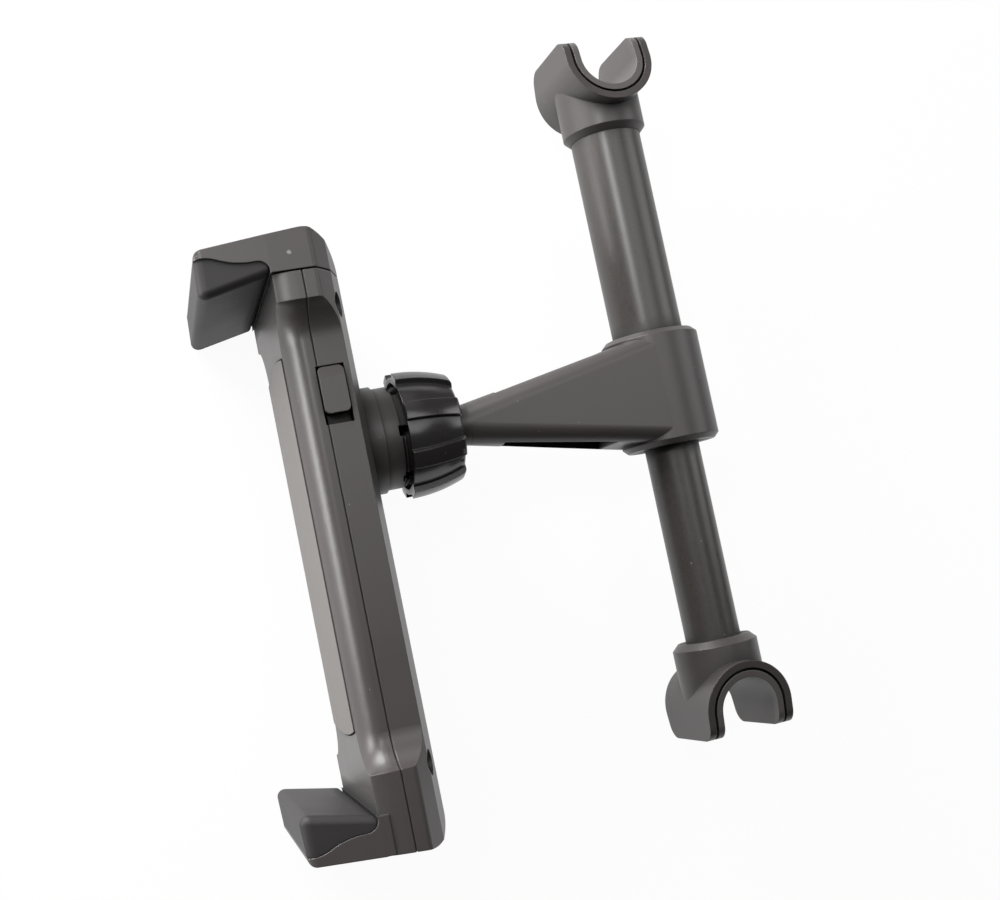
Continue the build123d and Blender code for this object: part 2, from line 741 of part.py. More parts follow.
with BuildPart() as rear_shell:
    with BuildSketch(Plane.XY):
        add(body_side())
    extrude(amount=end_half_width, both=True)
    with BuildSketch(holder_plane(back_y)):
        add(body_view(waist_half_width, end_half_width, shoulder_run))
    extrude(amount=holder_depth - front_depth, mode=Mode.INTERSECT)
    chamfer(rear_shell.faces().sort_by(Axis.Y)[0].edges(), split_chamfer)
    with BuildSketch(Plane.YZ):
        add(end_view(0))
    extrude(amount=far, both=True, mode=Mode.INTERSECT)
    with BuildSketch(holder_plane(inside_back_y)):
        outline(both_sides([
            (body_top_x + wall, end_cavity_half_width),
            (upper_shoulder_x + shoulder_run, end_cavity_half_width),
            (upper_shoulder_x + shoulder_run, waist_half_width - wall),
            (lower_shoulder_x - shoulder_run, waist_half_width - wall),
            (lower_shoulder_x - shoulder_run, end_cavity_half_width),
            (body_bottom_x - bottom_radius, end_cavity_half_width),
        ]))
    extrude(amount=holder_depth, mode=Mode.SUBTRACT)
    with BuildSketch(holder_plane(back_y)):
        with Locations((arm_x, 0)):
            Circle(spigot_d / 2)
            with PolarLocations(socket_screw_circle / 2, 4, start_angle=45):
                Circle(screw_d / 2)
        with Locations(*screw_places()):
            Circle(screw_d / 2)
    extrude(amount=holder_depth, mode=Mode.SUBTRACT)
    with BuildSketch(holder_plane(back_y)):
        with Locations(*screw_places()):
            Circle(case_recess_d / 2)
    extrude(amount=case_recess_floor, mode=Mode.SUBTRACT)
    with BuildSketch(bar_plane(body_top_x)):
        outline(both_sides([
            (split_y, tongue_half_width + running_gap),
            (tongue_back_y + running_gap, tongue_half_width + running_gap),
        ]))
    extrude(amount=wall, mode=Mode.SUBTRACT)
    with BuildSketch(Plane.XY.offset(waist_half_width - wall)):
        outline([
            (button_top_x - running_gap, split_y),
            (button_end_x + running_gap, split_y),
            (button_end_x + running_gap, button_back_y + running_gap),
            (button_top_x - running_gap, button_back_y + running_gap),
        ])
    extrude(amount=end_half_width, mode=Mode.SUBTRACT)
    with BuildSketch(holder_plane(inside_back_y)):
        for x in (rib_top_x, rib_bottom_x):
            with Locations((x, 0)):
                Rectangle(rib, 2 * rail_z)
    extrude(amount=inside_back_y - tongue_back_y - running_gap)
    with BuildSketch(holder_plane(inside_back_y)):
        for side in (-1, 1):
            rail_middle_z = side * (rail_z + rib / 2)
            with Locations((rib_top_x, rail_middle_z), (rib_bottom_x, rail_middle_z)):
                Rectangle(rail_length, rib)
        with Locations((spring_x, spring_foot_z - rib / 2)):
            Rectangle(spring_d + rib, rib)
    extrude(amount=inside_back_y - tongue_front_y)
save_turned(rear_shell.part, "rear_shell")

save_turned(build_pad_form(face_y + pad_recess, pad_thickness, 0), "front_pad")
save_turned(build_grip(1), "lower_jaw_grip")
save_turned(build_grip(-1), "upper_jaw_grip")

with BuildPart() as upper_jaw:
    with BuildSketch(Plane.XY) as cap_view:
        outline([
            (jaw_seam_x, face_y),
            (jaw_seam_x, back_y),
            (middle_x - half_length, back_y),
            (middle_x - jaw_root, face_y),
        ])
        fillet(cap_view.vertices().sort_by(Axis.X)[0], jaw_back_radius)
    extrude(amount=end_half_width, both=True)
    with BuildSketch(Plane.YZ):
        add(end_view(0))
    extrude(amount=far, both=True, mode=Mode.INTERSECT)
    add(build_arm_of_jaw(-1))
    with BuildSketch(bar_plane(jaw_seam_x)):
        outline(both_sides([(tongue_front_y, tongue_half_width), (tongue_back_y, tongue_half_width)]))
    extrude(amount=tongue_length)
    with BuildSketch(holder_plane(tongue_back_y)):
        for number in range(rack_teeth):
            tooth_x = jaw_seam_x + rack_start + number * rack_pitch
            outline([
                (tooth_x, -tongue_half_width),
                (tooth_x + rack_pitch, -tongue_half_width),
                (tooth_x + rack_pitch, rack_depth - tongue_half_width),
            ])
    extrude(amount=tongue_thickness, mode=Mode.SUBTRACT)
save_turned(upper_jaw.part, "upper_jaw")

# Release button: cap in the side window, flange behind the wall, and a yoke to the far side of the rack
pawl_z = -tongue_half_width - running_gap
with BuildPart() as release_button:
    with BuildSketch(holder_plane(button_front_y)):
        outline([
            (button_top_x, button_seat_z),
            (button_top_x, waist_half_width + button_ramp_rise),
            (button_top_x + button_ramp, waist_half_width + button_rise),
            (button_end_x - button_end_gap, waist_half_width + button_rise),
            (button_end_x - button_end_gap, button_seat_z),
        ])
    extrude(amount=-button_width)
    fillet(release_button.edges().filter_by(Axis.Z), button_radius)
    with BuildSketch(Plane.XY.offset(button_seat_z)):
        outline([
            (button_top_x - button_lip, split_y + running_gap),
            (button_end_x + button_lip, split_y + running_gap),
            (button_end_x + button_lip, button_back_y),
            (button_top_x - button_lip, button_back_y),
        ])
    extrude(amount=button_flange)
    with BuildSketch(holder_plane(yoke_back_y)):
        with Locations((yoke_x, button_seat_z + button_flange)):
            Rectangle(yoke_width, button_seat_z + button_flange - pawl_z + rack_depth + pawl_width,
                      align=(Align.CENTER, Align.MAX))
    extrude(amount=yoke_thickness)
    with BuildSketch(holder_plane(yoke_back_y)):
        with Locations((yoke_x, pawl_z - rack_depth)):
            Rectangle(yoke_width, pawl_width, align=(Align.CENTER, Align.MAX))
        for number in range(pawl_teeth):
            tooth_x = yoke_x - yoke_width / 2 + number * rack_pitch
            outline([
                (tooth_x, pawl_z - rack_depth),
                (tooth_x + rack_pitch, pawl_z - rack_depth),
                (tooth_x + rack_pitch, pawl_z),
            ])
    extrude(amount=yoke_back_y - tongue_front_y)
save_turned(release_button.part, "release_button")

with BuildPart() as button_spring:
    with BuildLine() as coil:
        Helix(
            pitch=(spring_length - spring_wire) / spring_turns,
            height=spring_length - spring_wire,
            radius=(spring_d - spring_wire) / 2,
            center=(spring_x, spring_y, spring_foot_z + spring_wire / 2),
        )
    with BuildSketch(Plane(origin=coil.line @ 0, z_dir=coil.line % 0)):
        Circle(spring_wire / 2)
    sweep(is_frenet=True)
save_turned(button_spring.part, "button_spring")

# Screws: four through the back into the front shell, four from inside into the socket cup
with BuildPart() as case_screws:
    with BuildSketch(holder_plane(case_head_y + case_head)):
        with Locations(*screw_places()):
            Circle(case_head_d / 2)
    extrude(amount=case_head)
    with BuildSketch(holder_plane(case_head_y)):
        with Locations(*screw_places()):
            Circle(screw_d / 2)
    extrude(amount=case_head_y - face_y - case_screw_tip - running_gap)
save_turned(case_screws.part, "case_screws")

with BuildPart() as socket_screws:
    with BuildSketch(holder_plane(inside_back_y)):
        with Locations((arm_x, 0)):
            with PolarLocations(socket_screw_circle / 2, 4, start_angle=45):
                Circle(socket_head_d / 2)
    extrude(amount=socket_head)
    with BuildSketch(holder_plane(inside_back_y)):
        with Locations((arm_x, 0)):
            with PolarLocations(socket_screw_circle / 2, 4, start_angle=45):
                Circle(screw_d / 2)
    extrude(amount=-(wall + socket_screw_length - running_gap))
save_turned(socket_screws.part, "socket_screws")
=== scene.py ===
from math import pi, radians
import bpy
from mathutils import Matrix, Vector


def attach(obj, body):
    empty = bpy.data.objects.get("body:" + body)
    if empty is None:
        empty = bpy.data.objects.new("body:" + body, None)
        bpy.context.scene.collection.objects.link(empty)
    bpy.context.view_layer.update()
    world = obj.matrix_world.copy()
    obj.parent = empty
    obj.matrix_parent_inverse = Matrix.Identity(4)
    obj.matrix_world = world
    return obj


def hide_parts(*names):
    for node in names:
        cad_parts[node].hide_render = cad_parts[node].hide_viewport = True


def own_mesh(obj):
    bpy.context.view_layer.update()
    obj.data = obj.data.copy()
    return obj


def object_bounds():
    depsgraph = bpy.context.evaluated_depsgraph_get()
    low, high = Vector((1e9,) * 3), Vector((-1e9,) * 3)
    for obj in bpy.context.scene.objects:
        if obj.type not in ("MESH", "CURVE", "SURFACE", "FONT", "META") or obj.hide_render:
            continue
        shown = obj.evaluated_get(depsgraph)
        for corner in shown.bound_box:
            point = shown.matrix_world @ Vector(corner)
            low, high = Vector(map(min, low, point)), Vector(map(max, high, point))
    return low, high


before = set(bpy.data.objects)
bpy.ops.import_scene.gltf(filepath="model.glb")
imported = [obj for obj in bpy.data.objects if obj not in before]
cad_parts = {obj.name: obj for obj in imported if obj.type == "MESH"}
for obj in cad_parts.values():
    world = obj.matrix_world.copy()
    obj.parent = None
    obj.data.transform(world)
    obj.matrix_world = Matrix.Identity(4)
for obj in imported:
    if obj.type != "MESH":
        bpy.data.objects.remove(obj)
cad_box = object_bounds()
bpy.ops.object.select_all(action="DESELECT")

# The bar's two tubes: drawn steel, the thin one sliding in the thick one.
# Both are coated dark and satin, with a fine sparkle and faint streaks along them from the drawing.
TUBE_COLOUR = (0.034, 0.030, 0.028, 1.0)
TUBE_STREAK = (0.05, 1.0, 1.0)


def new_group(name, inputs, outputs):
    """An empty shader node group with named sockets, and its two ends, ready to link."""
    group = bpy.data.node_groups.new(name, "ShaderNodeTree")
    for label, kind, value in inputs:
        socket = group.interface.new_socket(label, in_out="INPUT", socket_type=kind)
        socket.default_value = value
    for label, kind in outputs:
        group.interface.new_socket(label, in_out="OUTPUT", socket_type=kind)
    start = group.nodes.new("NodeGroupInput")
    end = group.nodes.new("NodeGroupOutput")
    return group, start, end


def add_node(tree, kind, links=None, **settings):
    """A node in a tree, with its settings made and its inputs set or linked by name or number."""
    node = tree.nodes.new(kind)
    for label, value in settings.items():
        setattr(node, label, value)
    for label, value in (links or {}).items():
        if isinstance(value, bpy.types.NodeSocket):
            tree.links.new(value, node.inputs[label])
        else:
            node.inputs[label].default_value = value
    return node


def add_math(tree, operation, *values):
    """The result of one sum in a tree."""
    return add_node(tree, "ShaderNodeMath", dict(enumerate(values)), operation=operation).outputs[0]


def add_mix(tree, share, first, second):
    """One colour mixed into another."""
    node = tree.nodes.new("ShaderNodeMix")
    node.data_type = "RGBA"
    tree.links.new(share, node.inputs["Factor"])
    tree.links.new(first, next(s for s in node.inputs if s.name == "A" and s.type == "RGBA"))
    next(s for s in node.inputs if s.name == "B" and s.type == "RGBA").default_value = second
    return next(s for s in node.outputs if s.type == "RGBA")


TONE_PATCHES = 60.0
EDGE_STARTS = 0.995
EDGE_FULL = 0.85
DUST_CELLS = 300.0
DUSTY_ABOVE = 0.62
SPECK_RADIUS = 0.055
DUST_COLOUR = (0.30, 0.29, 0.27, 1.0)
CREVICE_REACH = 0.004
CREVICE_POWER = 2.0
GRAIN_HEIGHT = 0.00005
GRAIN_ROUGHENS = 0.12
TONE_ROUGHENS = 0.5
DUST_ROUGHENS = 0.4
RUB_SMOOTHS = 0.12
CREVICE_ROUGHENS = 0.4


def build_surface_group():
    """Grain, slow changes of tone and dust, as every moulded or coated surface has, with edges made paler by
    wear and a painted highlight, and crevices darkened by painted shade.
    """
    group, start, end = new_group(
        "worn_and_shaded_surface",
        [
            ("Colour", "NodeSocketColor", (0.1, 0.1, 0.1, 1.0)),
            ("Roughness", "NodeSocketFloat", 0.5),
            ("Grain Size", "NodeSocketFloat", 2500.0),
            ("Grain Depth", "NodeSocketFloat", 0.2),
            ("Sparkle", "NodeSocketFloat", 0.0),
            ("Tone Change", "NodeSocketFloat", 0.15),
            ("Edge Radius", "NodeSocketFloat", 0.0003),
            ("Edge Wear And Highlight", "NodeSocketFloat", 0.3),
            ("Dust", "NodeSocketFloat", 0.4),
            ("Stretch", "NodeSocketVector", (1.0, 1.0, 1.0)),
        ],
        [("Colour", "NodeSocketColor"), ("Roughness", "NodeSocketFloat"), ("Normal", "NodeSocketVector")],
    )
    given = start.outputs
    place = add_node(group, "ShaderNodeTexCoord").outputs["Object"]
    stretched = add_node(group, "ShaderNodeVectorMath", {0: place, 1: given["Stretch"]},
                         operation="MULTIPLY").outputs[0]
    grain = add_node(group, "ShaderNodeTexNoise", {"Vector": place, "Scale": given["Grain Size"], "Detail": 3.0,
                                                   "Roughness": 0.6}).outputs["Fac"]
    slow = add_node(group, "ShaderNodeTexNoise", {"Vector": stretched, "Scale": TONE_PATCHES, "Detail": 4.0,
                                                  "Roughness": 0.55}).outputs["Fac"]

    # Edges: where the rounded normal leaves the flat one, the surface is made smoother and paler, partly rubbed
    # wear and partly a painted highlight.
    rounded = add_node(group, "ShaderNodeBevel", {"Radius": given["Edge Radius"]}, samples=6).outputs[0]
    flat = add_node(group, "ShaderNodeNewGeometry").outputs["Normal"]
    likeness = add_node(group, "ShaderNodeVectorMath", {0: rounded, 1: flat},
                        operation="DOT_PRODUCT").outputs["Value"]
    edge = add_node(group, "ShaderNodeMapRange", {"Value": likeness, "From Min": EDGE_STARTS,
                                                  "From Max": EDGE_FULL, "To Min": 0.0,
                                                  "To Max": 1.0}).outputs[0]
    edge_wear_and_highlight = add_math(group, "MULTIPLY", edge, given["Edge Wear And Highlight"])

    # Dust: a few of the cells of a coarse pattern hold one pale speck each.
    cells = add_node(group, "ShaderNodeTexVoronoi", {"Vector": place, "Scale": DUST_CELLS})
    chosen = add_math(group, "GREATER_THAN", cells.outputs["Color"], DUSTY_ABOVE)
    speck = add_math(group, "LESS_THAN", cells.outputs["Distance"], SPECK_RADIUS)
    dust = add_math(group, "MULTIPLY", add_math(group, "MULTIPLY", chosen, speck), given["Dust"])

    tone = add_math(group, "MULTIPLY", add_math(group, "SUBTRACT", slow, 0.5), given["Tone Change"])
    glint = add_math(group, "MULTIPLY", add_math(group, "SUBTRACT", grain, 0.5), given["Sparkle"])
    toning = add_math(group, "MULTIPLY_ADD", tone, 2.0, 1.0)
    level = add_math(group, "ADD", toning, add_math(group, "ADD", glint, edge_wear_and_highlight))

    # Crevices: close to another surface the colour is darkened, a painted shade, and the surface is made
    # rougher.
    clear = add_node(group, "ShaderNodeAmbientOcclusion", {"Distance": CREVICE_REACH}, samples=6).outputs["AO"]
    unshaded = add_math(group, "POWER", clear, CREVICE_POWER)
    crevice_share = add_math(group, "SUBTRACT", 1.0, unshaded)
    shade = add_math(group, "MULTIPLY", level, unshaded)
    toned = add_node(group, "ShaderNodeVectorMath", {0: given["Colour"], "Scale": shade},
                     operation="SCALE").outputs[0]
    colour = add_mix(group, dust, toned, DUST_COLOUR)
    fine = add_math(group, "MULTIPLY_ADD", grain, GRAIN_ROUGHENS, -GRAIN_ROUGHENS / 2)
    uneven = add_math(group, "ADD", fine, add_math(group, "MULTIPLY", tone, TONE_ROUGHENS))
    dulled = add_math(group, "MULTIPLY_ADD", dust, DUST_ROUGHENS, uneven)
    rubbed = add_math(group, "MULTIPLY_ADD", edge_wear_and_highlight, -RUB_SMOOTHS, dulled)
    change = add_math(group, "MULTIPLY_ADD", crevice_share, CREVICE_ROUGHENS, rubbed)
    rough = add_node(group, "ShaderNodeMath", {0: given["Roughness"], 1: change}, operation="ADD",
                     use_clamp=True).outputs[0]
    bump = add_node(group, "ShaderNodeBump", {"Strength": given["Grain Depth"], "Distance": GRAIN_HEIGHT,
                                              "Height": grain, "Normal": rounded}).outputs[0]
    group.links.new(colour, end.inputs["Colour"])
    group.links.new(rough, end.inputs["Roughness"])
    group.links.new(bump, end.inputs["Normal"])
    return group


worn_and_shaded_surface = build_surface_group()


def new_finish(name, settings, shader):
    """A material with one Principled shader, fed by the surface group with its own values."""
    material = bpy.data.materials.new(name)
    material.use_nodes = True
    tree = material.node_tree
    principled = tree.nodes["Principled BSDF"]
    group = tree.nodes.new("ShaderNodeGroup")
    group.node_tree = worn_and_shaded_surface
    for label, value in settings.items():
        group.inputs[label].default_value = value
    for label, value in shader.items():
        principled.inputs[label].default_value = value
    tree.links.new(group.outputs["Colour"], principled.inputs["Base Color"])
    tree.links.new(group.outputs["Roughness"], principled.inputs["Roughness"])
    tree.links.new(group.outputs["Normal"], principled.inputs["Normal"])
    return material


def coat(material, *nodes):
    """Give CAD pieces one finish."""
    for node in nodes:
        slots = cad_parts[node].data.materials
        slots.clear()
        slots.append(material)


tube_coating = new_finish(
    "satin_tube_coating",
    {"Colour": TUBE_COLOUR, "Roughness": 0.35, "Grain Size": 1900.0, "Grain Depth": 0.16, "Sparkle": 0.9,
     "Tone Change": 0.45, "Stretch": TUBE_STREAK},
    {"Specular IOR Level": 0.6},
)
coat(tube_coating, "outer_tube", "inner_tube")

# The hooks, the arm, the socket, the two shells and the button: one dark warm-grey plastic, moulded with a
# fine satin grain and a little shinier where hands rub the edges.
BODY_COLOUR = (0.046, 0.040, 0.039, 1.0)
BODY_FINISH = {"Colour": BODY_COLOUR, "Roughness": 0.39, "Grain Size": 2600.0, "Grain Depth": 0.1,
               "Sparkle": 0.08, "Tone Change": 0.1}
satin_plastic = new_finish("satin_moulded_plastic", BODY_FINISH, {})
coat(satin_plastic, "fixed_hook", "sliding_hook", "arm", "socket_cup")
coat(satin_plastic, "front_shell", "rear_shell", "release_button")

# The sliding jaw: the same plastic. A pale scuff marks the place on its side where the moulding's gate was
# cut off.
GATE_PLACE = (0.04357, -0.09389, 0.02931)
GATE_RADIUS = 0.0006
GATE_FADE = 1.4
GATE_TEAR = 2200.0
GATE_SHARE = 0.8
GATE_COLOUR = (0.26, 0.25, 0.24, 1.0)
jaw_plastic = new_finish("satin_jaw_plastic", BODY_FINISH, {})
tree = jaw_plastic.node_tree
base_colour = tree.nodes["Principled BSDF"].inputs["Base Color"]
place = add_node(tree, "ShaderNodeTexCoord").outputs["Object"]
away = add_node(tree, "ShaderNodeVectorMath", {0: place, 1: GATE_PLACE}, operation="DISTANCE").outputs["Value"]
broken = add_node(tree, "ShaderNodeTexNoise", {"Vector": place, "Scale": GATE_TEAR}).outputs["Fac"]
ragged = add_math(tree, "MULTIPLY_ADD", broken, GATE_RADIUS, away)
scuff = add_node(tree, "ShaderNodeMapRange", {"Value": ragged, "From Min": GATE_RADIUS,
                                              "From Max": GATE_FADE * GATE_RADIUS,
                                              "To Min": GATE_SHARE, "To Max": 0.0}).outputs[0]
tree.links.new(add_mix(tree, scuff, base_colour.links[0].from_socket, GATE_COLOUR), base_colour)
coat(jaw_plastic, "upper_jaw")

# The hooks' liners: smooth rubber sleeves, pressed into the channels so that the hooks grip the headrest's
# posts and don't scratch them.
LINER_COLOUR = (0.075, 0.068, 0.066, 1.0)
liner_rubber = new_finish(
    "smooth_liner_rubber",
    {"Colour": LINER_COLOUR, "Roughness": 0.44, "Grain Size": 3400.0, "Grain Depth": 0.15, "Tone Change": 0.14},
    {},
)
coat(liner_rubber, "fixed_hook_liner", "sliding_hook_liner")

# The jaws' grips: soft black rubber pressed into the jaws, duller than the plastic round it, and dust clings
# to it.
GRIP_COLOUR = (0.017, 0.015, 0.016, 1.0)
grip_rubber = new_finish(
    "soft_grip_rubber",
    {"Colour": GRIP_COLOUR, "Roughness": 0.58, "Grain Size": 3000.0, "Grain Depth": 0.3, "Tone Change": 0.2,
     "Dust": 0.8},
    {"Specular IOR Level": 0.38},
)
coat(grip_rubber, "lower_jaw_grip", "upper_jaw_grip")

# The ring nut: a harder plastic, blacker and glossier, with its moulded ridges polished by hands and their
# edges made paler, partly wear and partly a painted highlight.
# It screws onto the socket and closes the fingers on the ball.
NUT_COLOUR = (0.022, 0.020, 0.020, 1.0)
glossy_plastic = new_finish(
    "semi_gloss_plastic",
    {"Colour": NUT_COLOUR, "Roughness": 0.2, "Grain Size": 1800.0, "Grain Depth": 0.02, "Tone Change": 0.1,
     "Edge Wear And Highlight": 0.5},
    {"Specular IOR Level": 0.7},
)
coat(glossy_plastic, "ring_nut")

# The front pad: a thin inlay of the same plastic with a duller face, pressed into its recess in the front
# shell. The tablet's back rests on it.
PAD_COLOUR = (0.100, 0.090, 0.085, 1.0)
pad_plastic = new_finish(
    "matt_inlay_plastic",
    {"Colour": PAD_COLOUR, "Roughness": 0.5, "Grain Size": 3000.0, "Grain Depth": 0.25, "Tone Change": 0.06},
    {},
)
coat(pad_plastic, "front_pad")

# The hidden mouldings of the twist lock and the ball's seat: plain grey plastic, left as it leaves the mould.
# The lock sits inside the tubes and the seat inside the socket.
INNER_COLOUR = (0.20, 0.20, 0.20, 1.0)
plain_plastic = new_finish(
    "plain_inner_plastic",
    {"Colour": INNER_COLOUR, "Roughness": 0.45, "Grain Size": 2000.0, "Grain Depth": 0.1, "Tone Change": 0.1},
    {},
)
coat(plain_plastic, "lock_ring", "lock_spigot", "ball_seat")

# The socket's thread: a coarse ridge moulded round the six fingers that close on the ball, broken at their
# slots. The ring nut climbs it, and its first turn shows in the gap between the nut and the boss.
BALL_CENTRE = Vector((0.085, -0.066, 0.0))
HOLDER_PITCH = radians(3.6)
FINGERS = 6
FINGER_ARC = radians(46.0)
THREAD_ROOT = 0.0116
THREAD_RISE = 0.00045
THREAD_SINK = 0.0001
THREAD_FOOT = 0.00095
THREAD_CREST = 0.0003
THREAD_PITCH = 0.0015
THREAD_START = -0.0050
THREAD_TURNS = 1.2
THREAD_LAPS = 2
THREAD_STEPS = 12


def pick(piece, kind, test):
    """Select only the points or faces of a mesh whose place and normal pass a test, and open it for editing."""
    bpy.ops.object.mode_set(mode="EDIT")
    bpy.ops.mesh.select_mode(type=kind)
    bpy.ops.mesh.select_all(action="DESELECT")
    bpy.ops.object.mode_set(mode="OBJECT")
    for part in piece.data.vertices if kind == "VERT" else piece.data.polygons:
        part.select = test(part.co if kind == "VERT" else part.center, part.normal)
    bpy.ops.object.mode_set(mode="EDIT")


def copy_to(piece, places):
    """Copies of a piece at their places in the frame, joined into one in the piece's stead."""
    made = []
    for place in places:
        copy = piece.copy()
        copy.data = piece.data.copy()
        bpy.context.collection.objects.link(copy)
        copy.matrix_world = place
        made.append(copy)
    bpy.data.objects.remove(piece)
    bpy.ops.object.select_all(action="DESELECT")
    for copy in made:
        copy.select_set(True)
    bpy.context.view_layer.objects.active = made[0]
    bpy.ops.object.join()
    bpy.ops.object.transform_apply(location=True, rotation=True, scale=True)
    return made[0]


to_holder = Matrix.Translation(BALL_CENTRE) @ Matrix.Rotation(HOLDER_PITCH, 4, "X")
bpy.ops.object.select_all(action="DESELECT")
bpy.ops.mesh.primitive_plane_add(size=1.0)
ridge = bpy.context.active_object
bpy.ops.object.mode_set(mode="EDIT")
bpy.ops.mesh.delete(type="ONLY_FACE")
bpy.ops.mesh.select_all(action="SELECT")
bpy.ops.transform.resize(value=(THREAD_RISE + THREAD_SINK, THREAD_FOOT, 1.0))
bpy.ops.transform.translate(value=(THREAD_ROOT + (THREAD_RISE - THREAD_SINK) / 2, 0.0, 0.0))
pick(ridge, "VERT", lambda place, normal: place.x > THREAD_ROOT)
bpy.ops.transform.resize(value=(1.0, THREAD_CREST / THREAD_FOOT, 1.0))
bpy.ops.object.mode_set(mode="OBJECT")
climb = ridge.modifiers.new("climb", "SCREW")
climb.axis = "Y"
climb.angle = FINGER_ARC
climb.screw_offset = THREAD_PITCH * FINGER_ARC / (2 * pi)
climb.steps = THREAD_STEPS
climb.render_steps = THREAD_STEPS
bpy.ops.object.modifier_apply(modifier=climb.name)
bpy.ops.object.mode_set(mode="EDIT")
bpy.ops.mesh.select_all(action="SELECT")
bpy.ops.mesh.fill_holes(sides=4)
bpy.ops.mesh.normals_make_consistent(inside=False)
bpy.ops.object.mode_set(mode="OBJECT")
ridge_places = []
for finger in range(FINGERS):
    turn = Matrix.Rotation((finger + 0.5) * 2 * pi / FINGERS - pi / 2 - FINGER_ARC / 2, 4, "Y")
    for lap in range(THREAD_LAPS):
        turns = lap + finger / FINGERS
        if turns < THREAD_TURNS:
            along = Matrix.Translation((0.0, THREAD_START + turns * THREAD_PITCH, 0.0))
            ridge_places.append(to_holder @ along @ turn)
thread = copy_to(ridge, ridge_places)
thread.name = "socket_thread"
thread.data.materials.append(satin_plastic)
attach(thread, "holder")

# The socket's screws: self-tappers, driven into the boss from inside the rear shell. They are steel with a
# dark plating, as the button's spring and the case's screws are.
STEEL_COLOUR = (0.32, 0.31, 0.30, 1.0)
plated_steel = new_finish(
    "dark_plated_steel",
    {"Colour": STEEL_COLOUR, "Roughness": 0.32, "Grain Size": 4000.0, "Grain Depth": 0.1, "Tone Change": 0.2,
     "Edge Radius": 0.0001},
    {"Metallic": 1.0},
)
coat(plated_steel, "socket_screws")

# The button's spring: a coil of round steel wire that stands on the shell's floor and lifts the button.
SPRING_FOOT = Vector((-0.0059, -0.02125, 0.0149))
SPRING_LENGTH = 0.0061
SPRING_WIRE = 0.0005
SPRING_RADIUS = 0.00175
SPRING_TURNS = 5
SPRING_STEPS = 32
SPRING_SIDES = 12
bpy.ops.object.select_all(action="DESELECT")
bpy.ops.mesh.primitive_circle_add(vertices=SPRING_SIDES, radius=SPRING_WIRE / 2, rotation=(pi / 2, 0.0, 0.0),
                                  location=(SPRING_RADIUS, 0.0, SPRING_WIRE / 2))
spring = bpy.context.active_object
bpy.ops.object.transform_apply(location=True, rotation=True, scale=True)
coil = spring.modifiers.new("coil", "SCREW")
coil.axis = "Z"
coil.angle = 2 * pi
coil.screw_offset = (SPRING_LENGTH - SPRING_WIRE) / SPRING_TURNS
coil.iterations = SPRING_TURNS
coil.steps = SPRING_STEPS
coil.render_steps = SPRING_STEPS
bpy.ops.object.modifier_apply(modifier=coil.name)
bpy.ops.object.mode_set(mode="EDIT")
bpy.ops.mesh.select_all(action="SELECT")
bpy.ops.mesh.remove_doubles(threshold=0.000001)
bpy.ops.mesh.fill_holes(sides=SPRING_SIDES)
bpy.ops.mesh.normals_make_consistent(inside=False)
bpy.ops.object.mode_set(mode="OBJECT")
spring = copy_to(spring, [to_holder @ Matrix.Translation(SPRING_FOOT)])
bpy.ops.object.shade_smooth()
spring.name = "coiled_spring"
spring.data.materials.append(plated_steel)
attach(spring, "holder")
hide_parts("button_spring")
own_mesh(spring)

# The four case screws: plated self-tappers with a domed head and a cross recess. Each is driven from the
# back, through the rear shell into the front one, and sits at the bottom of its recess.
SCREW_SPOTS = [(0.0552, -0.023), (0.0552, 0.023), (0.1600, -0.023), (0.1600, 0.023)]
SCREW_SEAT = -0.0857
HEAD_RADIUS = 0.0025
HEAD_HEIGHT = 0.0016
HEAD_DOME = 0.0009
SHANK_RADIUS = 0.0012
SHANK_LENGTH = 0.0078
TIP_LENGTH = 0.0008
TIP_TAPER = 0.4
CROSS_REACH = 0.0030
CROSS_WIDTH = 0.0007
CROSS_DEPTH = 0.0009
CROSS_TAPER = (0.4, 0.7, 1.0)
HEAD_SIDES = 40
DOME_STEPS = 5
LEVEL_ENOUGH = 0.9
bpy.ops.object.select_all(action="DESELECT")
bpy.ops.mesh.primitive_cylinder_add(vertices=HEAD_SIDES, radius=HEAD_RADIUS, depth=HEAD_HEIGHT,
                                    location=(0.0, 0.0, HEAD_HEIGHT / 2))
screw = bpy.context.active_object
bpy.ops.object.transform_apply(location=True, rotation=True, scale=True)
pick(screw, "FACE", lambda place, normal: normal.z > LEVEL_ENOUGH)
bpy.ops.mesh.bevel(offset=HEAD_DOME, segments=DOME_STEPS, affect="EDGES")
pick(screw, "FACE", lambda place, normal: normal.z < -LEVEL_ENOUGH)
bpy.ops.mesh.inset(thickness=HEAD_RADIUS - SHANK_RADIUS, depth=0.0)
bpy.ops.mesh.extrude_region_move(TRANSFORM_OT_translate={"value": (0.0, 0.0, -SHANK_LENGTH)})
bpy.ops.mesh.extrude_region_move(TRANSFORM_OT_translate={"value": (0.0, 0.0, -TIP_LENGTH)})
bpy.ops.transform.resize(value=(TIP_TAPER, TIP_TAPER, 1.0))
bpy.ops.object.mode_set(mode="OBJECT")
